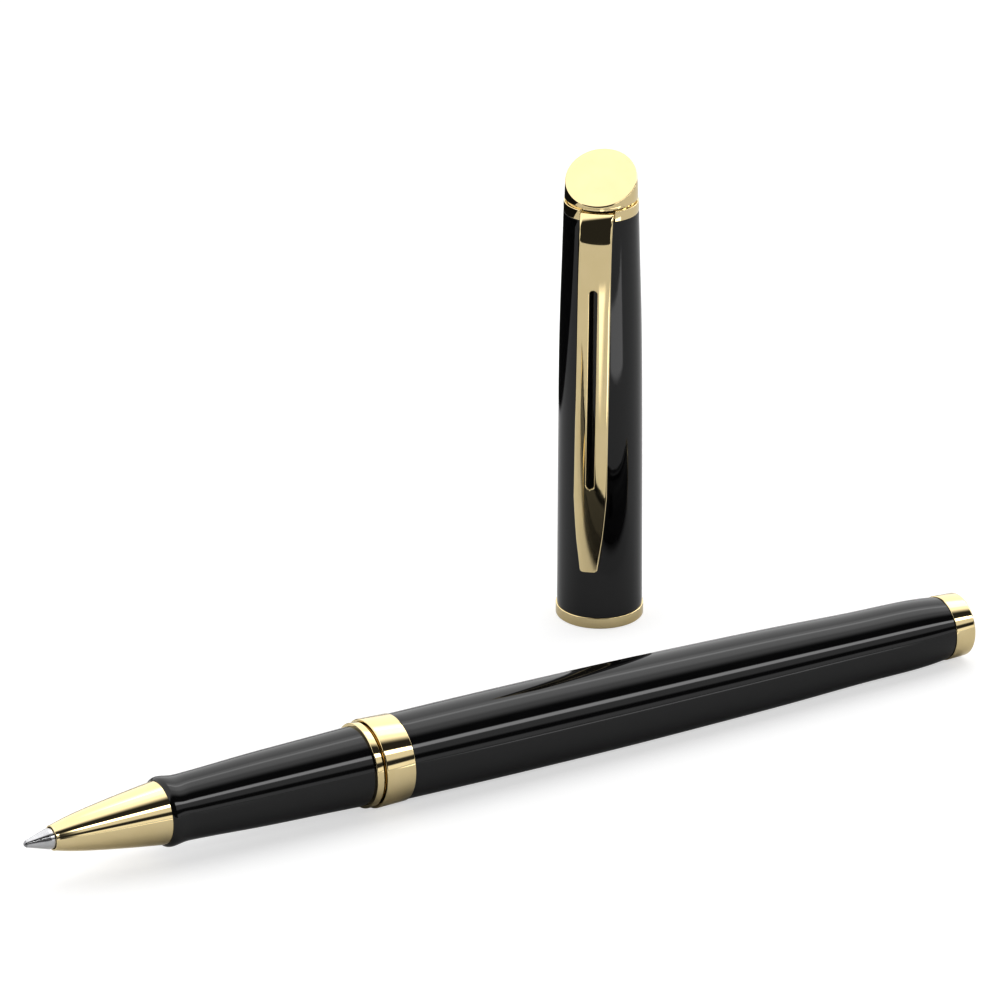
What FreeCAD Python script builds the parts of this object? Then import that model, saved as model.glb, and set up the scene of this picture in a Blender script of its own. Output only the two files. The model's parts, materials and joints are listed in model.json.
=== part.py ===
"""Rollerball pen with its cap off. The pen lies on its centre band and tail ring, and the cap
stands on its lip beside it. Millimetres, +Z up, +X along the pen from its tip to its tail, origin
at the middle of the whole object's footprint.

Both assemblies are built along X. On the pen, x = 0 is the rear edge of the centre band. On the
cap, x is the height above the lip, and the clip is on the +Z side, until the cap is stood up.
"""
import math
import os

import FreeCAD, Part
from FreeCAD import Placement, Rotation, Vector

X = Vector(1, 0, 0)
Y = Vector(0, 1, 0)
Z = Vector(0, 0, 1)

# The pen, from its tip to its tail
TIP_X = -45.8
NOSE_FRONT_X = -42.5
SECTION_FRONT_X = -29.5
SECTION_REAR_X = -4.83
BAND_FRONT_X = -3.7
BARREL_REAR_X = 72.4
TAIL_X = 75.2

# Outer radii
NOSE_FRONT_R = 1.42
NOSE_REAR_R = 3.56
SECTION_FRONT_R = 3.64
SECTION_REAR_R = 4.5
SECTION_RING_R = 4.84
BAND_FRONT_R = 5.07
BAND_REAR_R = 4.97
TAIL_RING_R = 3.8
TAIL_END_R = 3.7

# The nose cone's spigot, and the bores through the nose
SPIGOT_R = 3.06
NOSE_NECK_X = -39.2
NOSE_CHAMBER_X = -38.4
TIP_GAP = 0.1
REFILL_NOSE_GAP = 0.15

# The joint between the section and the barrel
CORE_FRONT_X = -16
CORE_R = 3.5
SECTION_GROOVE = 0.25
SHOULDER_R = 4.4
SHOULDER_REAR_X = -3.5
BARREL_NECK_R = 4.55
INSERT_R = 4.2
INSERT_REAR_X = 14
PILOT_R = 3.92
RUNNING_GAP = 0.05
THREAD_PITCH = 1.0
THREAD_START_X = 1.2
THREAD_TURNS = 6
THREAD_ROOT_R = 3.45
THREAD_CREST_R = 3.85
THREAD_GAP = 0.09
THREAD_ROOT_WIDTH = 0.6
THREAD_CREST_WIDTH = 0.26

# The plug in the tail
PLUG_FRONT_X = 64
PLUG_R = 3.3
STUD_R = 1.2
STUD_REAR_X = 74

# The refill
BALL_R = 0.35
SOCKET_GAP = 0.01
TIP_R = 1.15
TIP_REAR_X = -37.0
REFILL_NOSE_R = 1.75
REFILL_NOSE_FRONT_X = -38.0
REFILL_SHOULDER_X = -25.4
REFILL_SHOULDER_REAR_X = -24.2
REFILL_R = 3.0
REFILL_BORE_R = 2.6
RESERVOIR_FRONT_X = -20
RESERVOIR_REAR_X = 60
TUBE_REAR_X = 64
REFILL_REAR_X = 65.2
FEED_FRONT_X = -43.4
FEED_REAR_X = -17.9
FEED_R = 0.55
REFILL_GAP = 0.12

# The spring behind the refill
SPRING_WIRE_R = 0.25
SPRING_WIRE_SIDES = 12
SPRING_R = 2.1
SPRING_TURNS = 4
SPRING_SEAT_X = 70.0

# The cap: heights above the lip, and outer radii
LIP_R = 5.17
LIP_HEIGHT = 1.35
CAP_TOP_X = 50.8
CAP_TOP_R = 4.36
CAP_BORE_R = 4.6
CAP_NECK_BORE_R = 3.9
CAP_NECK_X = 38.0
SLEEVE_TOP_X = 4.0
SLEEVE_R = 4.76
LINER_LOW_X = 12
LINER_TOP_X = 45.5
LINER_GUIDE_R = 4.25
LINER_GRIP_R = 3.98
LINER_TIP_R = 3.4
SCREW_HEAD_X = 46.2
SCREW_HEAD_R = 2.2
BUSHING_X = 47.6
SCREW_TOP_X = 54
CLIP_RING_X = 52.08
CROWN_GROOVE = 0.32
CROWN_FRONT_X = 52.8
CROWN_BACK_X = 56.85
CROWN_R = 4.26
CROWN_TOP_R = 4.05
CROWN_NECK_R = 4.0
CROWN_BOSS_R = 2.9
SCREW_R = 1.25

# The clip: heights above the lip, and distances out from the cap's axis
CLIP_END_X = 8.4
CLIP_TAPER_X = 17.6
CLIP_TOP_X = 52.0
CLIP_HALF_WIDTH = 1.95
CLIP_TIP_HALF_WIDTH = 1.07
CLIP_TAB_R = 3.35
CLIP_TAB_X = 50.98
CLIP_LEAN = 0.4
CLIP_LEAN_X = 31
SLOT_LOW_X = 18.85
SLOT_HIGH_X = 43.2
SLOT_HALF_WIDTH = 0.47

# Where the cap stands, from the centre band's rear edge, and the way its clip faces
CAP_BESIDE = (45.2, 31.2)
CLIP_BEARING = 230.4


# Shapes turned about X

def at(x, r):
    return Vector(x, 0, r)


def line(*points):
    """Straight edges through (x, r) points."""
    spots = [at(*point) for point in points]
    return [Part.makeLine(a, b) for a, b in zip(spots, spots[1:])]


def curve(*points):
    """One smooth edge through (x, r) points."""
    spline = Part.BSplineCurve()
    spline.interpolate([at(*point) for point in points])
    return [spline.toShape()]


def face(*runs):
    """The flat face inside the closed outline that the runs of edges make."""
    return Part.Face(Part.Wire([edge for run in runs for edge in run]))


def turned(*runs):
    """Solid of revolution of the outline about X."""
    return face(*runs).revolve(Vector(), X, 360)


def rod(start, end, radius):
    return Part.makeCylinder(radius, end - start, X * start, X)


def cone(start, end, start_r, end_r):
    return Part.makeCone(start_r, end_r, end - start, X * start, X)


def fused(first, *others):
    return first.fuse(list(others)).removeSplitter()


def bored(shape, *bores):
    """The shape with coaxial holes, each (start x, end x, radius)."""
    for start, end, radius in bores:
        shape = shape.cut(rod(start, end, radius))
    return shape


def helix(start, turns, pitch, radius):
    """A right-handed helix about X."""
    path = Part.makeHelix(pitch, turns * pitch, radius)
    path.Placement = Placement(X * start, Rotation(Y, 90))
    return Part.Wire(path.Edges)


def thread_ridge(start, turns, root_r, crest_r, root_width, crest_width):
    """A ridge of trapezoid section that winds about X."""
    path = helix(start, turns, THREAD_PITCH, root_r)
    corners = [
        (start - root_width / 2, root_r),
        (start - crest_width / 2, crest_r),
        (start + crest_width / 2, crest_r),
        (start + root_width / 2, root_r),
    ]
    begin = path.Edges[0].valueAt(path.Edges[0].FirstParameter)
    roll = math.degrees(math.atan2(-begin.y, begin.z))
    profile = Part.Wire(line(*corners, corners[0]))
    profile.rotate(Vector(), X, roll)
    return path.makePipeShell([profile], True, True)


# The section, which the hand holds

def section_grip():
    outer = turned(
        line((SECTION_FRONT_X, 0), (SECTION_FRONT_X, SECTION_FRONT_R)),
        curve((SECTION_FRONT_X, SECTION_FRONT_R), (-29.3, 3.82), (-28.8, 3.93), (-28.2, 3.87),
              (-27.2, 3.73), (-26.0, 3.72), (-23.5, 3.82), (-18.0, 4.09), (-12.0, 4.28),
              (SECTION_REAR_X, SECTION_REAR_R)),
        line((SECTION_REAR_X, SECTION_REAR_R), (SECTION_REAR_X, 0), (SECTION_FRONT_X, 0)),
    )
    return bored(
        outer,
        (SECTION_FRONT_X - 1, REFILL_SHOULDER_X - 0.1, SPIGOT_R),
        (REFILL_SHOULDER_X - 0.2, CORE_FRONT_X, REFILL_R + REFILL_GAP),
        (CORE_FRONT_X, 0, CORE_R),
    )


def nose_cone():
    lip = 0.16
    outer = turned(
        line((NOSE_FRONT_X, 0), (NOSE_FRONT_X, NOSE_FRONT_R - lip)),
        curve((NOSE_FRONT_X, NOSE_FRONT_R - lip), (NOSE_FRONT_X + 0.05, NOSE_FRONT_R - 0.06),
              (NOSE_FRONT_X + lip, NOSE_FRONT_R)),
        curve((NOSE_FRONT_X + lip, NOSE_FRONT_R), (-40.6, 1.85), (-38.5, 2.26), (-35.5, 2.74),
              (-32.5, 3.17), (SECTION_FRONT_X, NOSE_REAR_R)),
        line((SECTION_FRONT_X, NOSE_REAR_R), (SECTION_FRONT_X, SPIGOT_R),
             (REFILL_SHOULDER_X - 0.1, SPIGOT_R), (REFILL_SHOULDER_X - 0.1, 0), (NOSE_FRONT_X, 0)),
    )
    tip_bore = TIP_R + TIP_GAP
    chamber = REFILL_NOSE_R + REFILL_NOSE_GAP
    drilled = bored(
        outer,
        (NOSE_FRONT_X - 1, NOSE_NECK_X, tip_bore),
        (NOSE_CHAMBER_X, REFILL_SHOULDER_X + 1, chamber),
    )
    return drilled.cut(cone(NOSE_NECK_X, NOSE_CHAMBER_X, tip_bore, chamber))


def section_ring():
    """The narrow gold ring that the cap's mouth goes over."""
    rear = BAND_FRONT_X - SECTION_GROOVE
    edge = 0.07
    return turned(line(
        (SECTION_REAR_X, CORE_R),
        (SECTION_REAR_X, SECTION_RING_R - edge),
        (SECTION_REAR_X + edge, SECTION_RING_R),
        (rear - edge, SECTION_RING_R),
        (rear, SECTION_RING_R - edge),
        (rear, CORE_R),
        (SECTION_REAR_X, CORE_R),
    ))


def section_core():
    """The brass tube in the section, with the male thread that the barrel screws on to."""
    rear = THREAD_START_X + THREAD_TURNS * THREAD_PITCH + 0.7
    ring_rear = BAND_FRONT_X - SECTION_GROOVE
    bore = REFILL_R + REFILL_GAP
    tube = turned(line(
        (CORE_FRONT_X, bore),
        (CORE_FRONT_X, CORE_R),
        (ring_rear, CORE_R),
        (ring_rear, SHOULDER_R),
        (SHOULDER_REAR_X, SHOULDER_R),
        (SHOULDER_REAR_X, PILOT_R),
        (THREAD_START_X - 1.0, PILOT_R),
        (THREAD_START_X - 0.6, THREAD_ROOT_R),
        (rear - 0.3, THREAD_ROOT_R),
        (rear, THREAD_ROOT_R - 0.2),
        (rear, bore),
        (CORE_FRONT_X, bore),
    ))
    ridge = thread_ridge(THREAD_START_X, THREAD_TURNS, THREAD_ROOT_R - 0.05, THREAD_CREST_R,
                         THREAD_ROOT_WIDTH, THREAD_CREST_WIDTH)
    return tube.fuse(ridge)


# The barrel

def barrel_tube():
    front = BAND_FRONT_X + 0.25
    outer = turned(
        line((front, 0), (front, BARREL_NECK_R), (0, BARREL_NECK_R), (0, 4.86)),
        curve((0, 4.86), (8, 4.92), (18, 4.935), (28, 4.89), (40, 4.71), (53, 4.41), (63, 4.11),
              (BARREL_REAR_X - 1, 3.8), (BARREL_REAR_X, 3.68)),
        line((BARREL_REAR_X, 3.68), (BARREL_REAR_X, 0), (front, 0)),
    )
    hollow = turned(
        line((INSERT_REAR_X, 0), (INSERT_REAR_X, INSERT_R)),
        curve((INSERT_REAR_X, INSERT_R), (28, 4.36), (40, 4.2), (53, 3.9), (PLUG_FRONT_X, 3.56)),
        line((PLUG_FRONT_X, 3.56), (PLUG_FRONT_X, 0), (INSERT_REAR_X, 0)),
    )
    seats = bored(outer, (front - 1, INSERT_REAR_X, INSERT_R), (PLUG_FRONT_X, BARREL_REAR_X + 1, PLUG_R))
    return seats.cut(hollow)


def center_band():
    """The wide gold band at the front of the barrel. It hides the joint."""
    edge = 0.1
    return turned(line(
        (BAND_FRONT_X, BARREL_NECK_R),
        (BAND_FRONT_X, BAND_FRONT_R - edge),
        (BAND_FRONT_X + edge, BAND_FRONT_R),
        (-edge, BAND_REAR_R),
        (0, BAND_REAR_R - edge),
        (0, BARREL_NECK_R),
        (BAND_FRONT_X, BARREL_NECK_R),
    ))


def barrel_insert():
    """The brass bushing in the barrel with the female thread."""
    front = BAND_FRONT_X + 0.3
    thread_end = THREAD_START_X + (THREAD_TURNS + 2) * THREAD_PITCH
    pilot_bore = PILOT_R + RUNNING_GAP
    minor_bore = THREAD_ROOT_R + THREAD_GAP
    major_bore = THREAD_CREST_R + THREAD_GAP
    refill_bore = 3.4
    body = bored(
        rod(front, INSERT_REAR_X, INSERT_R),
        (front - 1, THREAD_START_X - 0.8, pilot_bore),
        (THREAD_START_X - 1, thread_end, minor_bore),
        (thread_end - 0.2, INSERT_REAR_X + 1, refill_bore),
    )
    lead_in = cone(THREAD_START_X - 0.8, THREAD_START_X - 0.3, pilot_bore, minor_bore)
    groove = thread_ridge(THREAD_START_X - THREAD_PITCH, THREAD_TURNS + 2, THREAD_ROOT_R - 0.05,
                          major_bore, THREAD_ROOT_WIDTH + 2 * THREAD_GAP,
                          THREAD_CREST_WIDTH + 2 * THREAD_GAP)
    relief = rod(thread_end - 0.9, thread_end, major_bore)
    return body.cut(lead_in).cut(groove).cut(relief)


def tail_ring():
    """The gold cup that closes the tail."""
    front = BARREL_REAR_X + 0.05
    rounding = 0.3
    outer = turned(
        line((front, 0), (front, TAIL_RING_R - 0.07), (front + 0.07, TAIL_RING_R),
             (TAIL_X - rounding, TAIL_END_R)),
        curve((TAIL_X - rounding, TAIL_END_R), (TAIL_X - 0.09, TAIL_END_R - 0.09),
              (TAIL_X, TAIL_END_R - rounding)),
        line((TAIL_X, TAIL_END_R - rounding), (TAIL_X, 0), (front, 0)),
    )
    return bored(outer, (front - 1, STUD_REAR_X, STUD_R))


def tail_plug():
    """The plug that carries the tail ring on its stud, and is the seat of the spring."""
    return fused(rod(SPRING_SEAT_X, BARREL_REAR_X, PLUG_R), rod(BARREL_REAR_X, STUD_REAR_X, STUD_R))


def refill_spring():
    front = REFILL_REAR_X + SPRING_WIRE_R + 0.08
    rear = SPRING_SEAT_X - SPRING_WIRE_R - 0.04
    path = helix(front, SPRING_TURNS, (rear - front) / SPRING_TURNS, SPRING_R)
    start = path.Edges[0].valueAt(path.Edges[0].FirstParameter)
    along = path.Edges[0].tangentAt(path.Edges[0].FirstParameter)
    spoke = along.cross(X).normalize() * SPRING_WIRE_R
    turns = [Rotation(along, 360 * i / SPRING_WIRE_SIDES) for i in range(SPRING_WIRE_SIDES + 1)]
    wire = Part.makePolygon([start + turn.multVec(spoke) for turn in turns])
    return path.makePipeShell([wire], True, True)


# The refill

def ball_center_x():
    return TIP_X + BALL_R


def refill_ball():
    return Part.makeSphere(BALL_R, X * ball_center_x())


def refill_tip():
    """The steel point: a cone with a socket that holds the ball, on a short straight shank."""
    rim = ball_center_x() - 0.1
    outer = turned(line(
        (rim, 0),
        (rim, BALL_R + 0.04),
        (rim + 0.45, BALL_R + 0.16),
        (-43.1, TIP_R - 0.06),
        (-43.0, TIP_R),
        (TIP_REAR_X, TIP_R),
        (TIP_REAR_X, 0),
        (rim, 0),
    ))
    socket = Part.makeSphere(BALL_R + SOCKET_GAP, X * ball_center_x())
    mouth = cone(rim - 0.1, ball_center_x(), BALL_R - 0.02, BALL_R + SOCKET_GAP)
    drilled = bored(outer, (ball_center_x(), FEED_FRONT_X, 0.15), (FEED_FRONT_X, TIP_REAR_X + 1, FEED_R))
    return drilled.cut(socket).cut(mouth)


def refill_nose():
    """The plastic front of the refill, which carries the tip and plugs the tube."""
    outer = fused(
        rod(REFILL_NOSE_FRONT_X, REFILL_SHOULDER_X, REFILL_NOSE_R),
        rod(REFILL_SHOULDER_X, REFILL_SHOULDER_REAR_X, REFILL_R),
        rod(REFILL_SHOULDER_REAR_X, RESERVOIR_FRONT_X, REFILL_BORE_R),
    )
    return bored(
        outer,
        (REFILL_NOSE_FRONT_X - 1, TIP_REAR_X, TIP_R),
        (TIP_REAR_X - 1, RESERVOIR_FRONT_X + 1, FEED_R),
    )


def refill_feed():
    """The fibre rod that draws ink from the reservoir to the ball."""
    return rod(FEED_FRONT_X, FEED_REAR_X, FEED_R)


def refill_reservoir():
    reservoir = rod(RESERVOIR_FRONT_X, RESERVOIR_REAR_X, REFILL_BORE_R)
    return bored(reservoir, (RESERVOIR_FRONT_X - 1, FEED_REAR_X, FEED_R))


def refill_tube():
    tube = rod(REFILL_SHOULDER_REAR_X, TUBE_REAR_X, REFILL_R)
    return bored(tube, (REFILL_SHOULDER_REAR_X - 1, TUBE_REAR_X + 1, REFILL_BORE_R))


def refill_plug():
    """The rear plug of the refill, with its vent."""
    plug = fused(rod(RESERVOIR_REAR_X, TUBE_REAR_X, REFILL_BORE_R), rod(TUBE_REAR_X, REFILL_REAR_X, REFILL_R))
    vent_r = 0.3
    return bored(plug, (RESERVOIR_REAR_X - 1, REFILL_REAR_X + 1, vent_r))


# The cap

def cap_tube():
    outer = turned(
        line((LIP_HEIGHT, 0), (LIP_HEIGHT, 5.03)),
        curve((LIP_HEIGHT, 5.03), (10, 4.99), (20, 4.94), (30, 4.86), (38, 4.73), (45, 4.52),
              (CAP_TOP_X, CAP_TOP_R)),
        line((CAP_TOP_X, CAP_TOP_R), (CAP_TOP_X, 0), (LIP_HEIGHT, 0)),
    )
    return bored(
        outer,
        (0, SLEEVE_TOP_X, SLEEVE_R),
        (SLEEVE_TOP_X - 1, CAP_NECK_X, CAP_BORE_R),
        (CAP_NECK_X, CAP_TOP_X + 1, CAP_NECK_BORE_R),
    )


def cap_lip_ring():
    """The gold ring round the mouth. Its sleeve goes up inside the tube, and its lip clears the
    narrow ring of the section."""
    low_edge = 0.12
    top_edge = 0.08
    lip_bore = SECTION_RING_R + 0.06
    lip_step = LIP_HEIGHT - 0.17
    return turned(line(
        (0, lip_bore),
        (0, LIP_R - low_edge),
        (low_edge, LIP_R),
        (LIP_HEIGHT - top_edge, LIP_R),
        (LIP_HEIGHT, LIP_R - top_edge),
        (LIP_HEIGHT, SLEEVE_R),
        (SLEEVE_TOP_X, SLEEVE_R),
        (SLEEVE_TOP_X, CAP_BORE_R),
        (lip_step, CAP_BORE_R),
        (lip_step, lip_bore),
        (0, lip_bore),
    ))


def cap_liner():
    """The inner cap. Its narrow part grips the section's front lip and seals the tip."""
    guide_top, grip_top, tip_top = 21.5, 28, 44.6
    outer = fused(rod(LINER_LOW_X, CAP_NECK_X, CAP_BORE_R), rod(CAP_NECK_X, LINER_TOP_X, CAP_NECK_BORE_R))
    drilled = bored(
        outer,
        (LINER_LOW_X - 1, guide_top, LINER_GUIDE_R),
        (guide_top - 0.5, grip_top, LINER_GRIP_R),
        (grip_top - 1, tip_top, LINER_TIP_R),
    )
    return drilled.cut(cone(guide_top, guide_top + 1, LINER_GUIDE_R, LINER_GRIP_R))


def cap_bushing():
    """The brass bushing that the crown's screw pulls against."""
    return bored(rod(BUSHING_X, CAP_TOP_X, CAP_NECK_BORE_R), (BUSHING_X - 1, CAP_TOP_X + 1, SCREW_R))


def crown_screw():
    """The slotted screw that holds the crown, the ring and the clip on the cap."""
    depth, width, length = 0.5, 0.6, 5
    head = rod(SCREW_HEAD_X, BUSHING_X, SCREW_HEAD_R)
    slot = Part.makeBox(depth, width, length, Vector(SCREW_HEAD_X, -width / 2, -length / 2))
    return fused(head.cut(slot), rod(BUSHING_X, SCREW_TOP_X, SCREW_R))


def leaned(shape):
    """The clip leans a little to one side of the cap's axis."""
    shape.rotate(X * CLIP_LEAN_X, Z, -CLIP_LEAN)
    return shape


def clip_notch():
    """The space in the clip ring for the clip's tab."""
    side = CLIP_HALF_WIDTH + 0.1
    return leaned(Part.makeBox(3, 2 * side, 3, Vector(CAP_TOP_X - 0.5, -side, CLIP_TAB_R - 0.1)))


def clip_ring():
    edge = 0.1
    ring = turned(line(
        (CAP_TOP_X, CROWN_BOSS_R),
        (CAP_TOP_X, CAP_TOP_R),
        (CLIP_RING_X - edge, CAP_TOP_R - 0.02),
        (CLIP_RING_X, CAP_TOP_R - 0.02 - edge),
        (CLIP_RING_X, CROWN_BOSS_R),
        (CAP_TOP_X, CROWN_BOSS_R),
    ))
    return ring.cut(clip_notch())


def crown():
    """The crown, with a flat top that falls towards the clip."""
    foot = CLIP_RING_X + CROWN_GROOVE
    head = cone(foot, CROWN_BACK_X + 0.5, CROWN_R, CROWN_TOP_R)
    slope = math.atan2(CROWN_BACK_X - CROWN_FRONT_X, 2 * CROWN_TOP_R + 0.15)
    middle = (CROWN_BACK_X + CROWN_FRONT_X) / 2
    above = Part.makeBox(20, 40, 40, Vector(0, -20, -20))
    above.Placement = Placement(X * middle, Rotation(Y, -math.degrees(slope)))
    head = head.cut(above)
    high = [edge for edge in head.Edges if edge.BoundBox.XMax > CROWN_FRONT_X + 1]
    rim = [edge for edge in high if edge.BoundBox.YLength > 6]
    head = head.makeChamfer(0.12, rim)
    neck = rod(CLIP_RING_X, foot, CROWN_NECK_R)
    solid = fused(head, neck, rod(CAP_TOP_X, CLIP_RING_X, CROWN_BOSS_R))
    return bored(solid, (CAP_TOP_X - 1, SCREW_TOP_X, SCREW_R))


# The clip

def clip_side():
    """The clip seen from the side: a tab in the ring, a round shoulder and a long thin leaf that
    stands further out towards its end, where a foot reaches in to the cap."""
    low, high = CLIP_END_X, CLIP_TOP_X
    return face(
        line((CLIP_TAB_X, CLIP_TAB_R), (high, CLIP_TAB_R), (high, 4.0)),
        curve((high, 4.0), (51.93, 4.35), (51.7, 4.72), (51.1, 5.2), (50.1, 5.58), (49.1, 5.85),
              (47.5, 6.1), (45.5, 6.28), (39.3, 6.56), (31.7, 6.82), (24.2, 7.17), (16.3, 7.56),
              (low + 0.25, 7.9)),
        line((low + 0.25, 7.9), (low, 7.7), (low, 7.0)),
        curve((low, 7.0), (8.55, 6.1), (9.0, 5.38), (9.6, 5.13), (10.2, 5.38), (11.0, 6.1),
              (12.0, 6.72), (13.5, 6.96), (16.3, 6.92), (24.2, 6.55), (31.7, 6.2), (39.3, 5.94),
              (45.5, 5.62), (47.5, 5.45), (49.1, 5.2), (50.1, 4.93), (50.75, 4.68),
              (CLIP_TAB_X, 4.35)),
        line((CLIP_TAB_X, 4.35), (CLIP_TAB_X, CLIP_TAB_R)),
    )


def clip_front():
    """The clip's outline seen from the front, with its slot."""
    wide, narrow, corner = CLIP_HALF_WIDTH, CLIP_TIP_HALF_WIDTH, 0.45
    right = [
        Vector(CLIP_TOP_X + 1, wide, 0),
        Vector(CLIP_TAPER_X, wide, 0),
        Vector(16.4, 1.87, 0),
        Vector(14.4, 1.72, 0),
        Vector(12.5, 1.55, 0),
        Vector(10.5, 1.28, 0),
        Vector(CLIP_END_X + corner, narrow, 0),
        Vector(CLIP_END_X, narrow - corner, 0),
    ]
    left = [Vector(p.x, -p.y, 0) for p in reversed(right)]
    reach = 10
    outline = Part.Face(Part.makePolygon(right + left + right[:1])).extrude(Z * reach)
    slot_ends = (SLOT_LOW_X + SLOT_HALF_WIDTH, SLOT_HIGH_X - SLOT_HALF_WIDTH)
    slot = Part.makeBox(slot_ends[1] - slot_ends[0], 2 * SLOT_HALF_WIDTH, reach,
                        Vector(slot_ends[0], -SLOT_HALF_WIDTH, 0))
    for end in slot_ends:
        slot = slot.fuse(Part.makeCylinder(SLOT_HALF_WIDTH, reach, X * end, Z))
    return outline.cut(slot)


def clip():
    half = CLIP_HALF_WIDTH + 1
    side = clip_side()
    side.translate(Y * -half)
    return leaned(side.extrude(Y * 2 * half).common(clip_front()))


# Placing

def pen_placement():
    """The pen rests on the centre band and the tail ring, so its axis drops a little to the tail."""
    band_x, tail_x = BAND_FRONT_X + 0.1, BARREL_REAR_X + 0.12
    tilt = math.asin((BAND_FRONT_R - TAIL_RING_R) / (tail_x - band_x))
    height = BAND_FRONT_R * math.cos(tilt) + band_x * math.sin(tilt)
    return Placement(Z * height, Rotation(Y, math.degrees(tilt)))


def cap_placement():
    """The cap stands on its lip, with its clip turned to its bearing."""
    stood = Placement(Vector(), Rotation(Y, -90))
    faced = Placement(Vector(*CAP_BESIDE, 0), Rotation(Z, CLIP_BEARING - 180))
    return faced.multiply(stood)


PEN_PIECES = [
    section_grip, nose_cone, section_ring, section_core,
    barrel_tube, center_band, barrel_insert, tail_ring, tail_plug, refill_spring,
    refill_ball, refill_tip, refill_nose, refill_feed, refill_reservoir, refill_tube, refill_plug,
]
CAP_PIECES = [
    cap_tube, cap_lip_ring, cap_liner, cap_bushing, crown_screw, clip_ring, crown, clip,
]


def footprint_shift(shapes):
    """The move that puts the origin at the middle of the bottom of all the shapes."""
    box = FreeCAD.BoundBox()
    for shape in shapes:
        box.add(shape.optimalBoundingBox(False, False))
    return Vector(-(box.XMin + box.XMax) / 2, -(box.YMin + box.YMax) / 2, 0)


def placements():
    """Where the pen and the cap go, once the origin is at the middle of the footprint."""
    outermost = [
        (refill_ball, pen_placement()), (center_band, pen_placement()), (tail_ring, pen_placement()),
        (cap_lip_ring, cap_placement()), (clip, cap_placement()),
    ]
    shift = footprint_shift([piece().transformed(place.toMatrix()) for piece, place in outermost])
    move = Placement(shift, Rotation())
    return move.multiply(pen_placement()), move.multiply(cap_placement())


def main():
    os.makedirs("parts", exist_ok=True)
    pen_place, cap_place = placements()
    for pieces, place in ((PEN_PIECES, pen_place), (CAP_PIECES, cap_place)):
        for piece in pieces:
            solid = piece()
            solid.transformShape(place.toMatrix())
            solid.exportStep(f"parts/{piece.__name__}.step")


main()
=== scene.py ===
import json
import math

import bmesh
import bpy
import numpy as np
from mathutils import Matrix, Vector


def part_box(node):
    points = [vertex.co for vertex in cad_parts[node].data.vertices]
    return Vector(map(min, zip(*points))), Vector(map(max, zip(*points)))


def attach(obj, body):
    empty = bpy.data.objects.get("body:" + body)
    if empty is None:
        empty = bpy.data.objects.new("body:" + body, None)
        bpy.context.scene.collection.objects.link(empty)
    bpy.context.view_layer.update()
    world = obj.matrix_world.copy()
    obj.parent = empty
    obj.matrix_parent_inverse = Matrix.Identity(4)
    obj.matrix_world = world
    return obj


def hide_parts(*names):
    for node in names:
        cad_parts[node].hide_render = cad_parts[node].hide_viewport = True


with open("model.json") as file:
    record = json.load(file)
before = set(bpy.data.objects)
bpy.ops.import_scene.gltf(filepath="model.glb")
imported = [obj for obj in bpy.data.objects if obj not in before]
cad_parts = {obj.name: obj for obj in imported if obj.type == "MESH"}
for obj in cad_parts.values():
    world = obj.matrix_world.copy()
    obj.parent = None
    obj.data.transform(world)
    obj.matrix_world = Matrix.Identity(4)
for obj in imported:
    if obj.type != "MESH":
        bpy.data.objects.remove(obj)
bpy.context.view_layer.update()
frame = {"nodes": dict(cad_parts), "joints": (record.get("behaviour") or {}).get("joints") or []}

# Looks of a rollerball pen with its cap off.
#
# Outlines are in millimetres along the axis of the pen or of the cap, and turn into metres in the
# frame when a mesh is made. On the pen, x = 0 is the rear edge of the centre band, and x grows towards
# the tail. On the cap, x is the height above its lip, and the clip is on the +z side.

MM = 0.001
TURN_STEPS = 224

# The pen
BALL_R = 0.35
BALL_X = -45.45
TIP_R = 1.15
TIP_REAR_X = -37.0
FEED_R = 0.55
NOSE_X = -42.5
NOSE_LIP_R = 1.42
SECTION_FRONT_X = -29.5
SECTION_FRONT_R = 3.64
SECTION_REAR_X = -4.83
SECTION_REAR_R = 4.5
SPIGOT_X = -25.5
SPIGOT_R = 3.06
CORE_FRONT_X = -16.0
CORE_R = 3.5
REFILL_BORE_R = 3.12
RING_REAR_X = -3.95
RING_R = 4.84
BAND_FRONT_X = -3.7
BAND_FRONT_R = 5.07
BAND_REAR_R = 4.97
NECK_X = -3.45
NECK_R = 4.55
INSERT_REAR_X = 14.0
INSERT_R = 4.2
PLUG_FRONT_X = 64.0
PLUG_R = 3.3
BARREL_REAR_X = 72.4
TAIL_X = 75.2
TAIL_RING_R = 3.8
TAIL_END_R = 3.7
SCREW_JOINT_TO_BAND = 20.0

# The cap
LIP_R = 5.17
LIP_BORE_R = 4.9
LIP_HEIGHT = 1.35
LIP_STEP_X = 1.18
SLEEVE_X = 4.0
SLEEVE_R = 4.76
CAP_BORE_R = 4.6
CAP_NECK_X = 38.0
CAP_NECK_R = 3.9
CAP_TOP_X = 50.8
CAP_TOP_R = 4.36
CLIP_RING_X = 52.08
CROWN_FOOT_X = 52.4
CROWN_FRONT_X = 52.8
CROWN_BACK_X = 56.85
CROWN_R = 4.26
CROWN_TOP_R = 4.05
CROWN_NECK_R = 4.0
CROWN_BOSS_R = 2.9
CROWN_EDGE = 0.13
SCREW_X = 54.0
SCREW_R = 1.25

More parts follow.
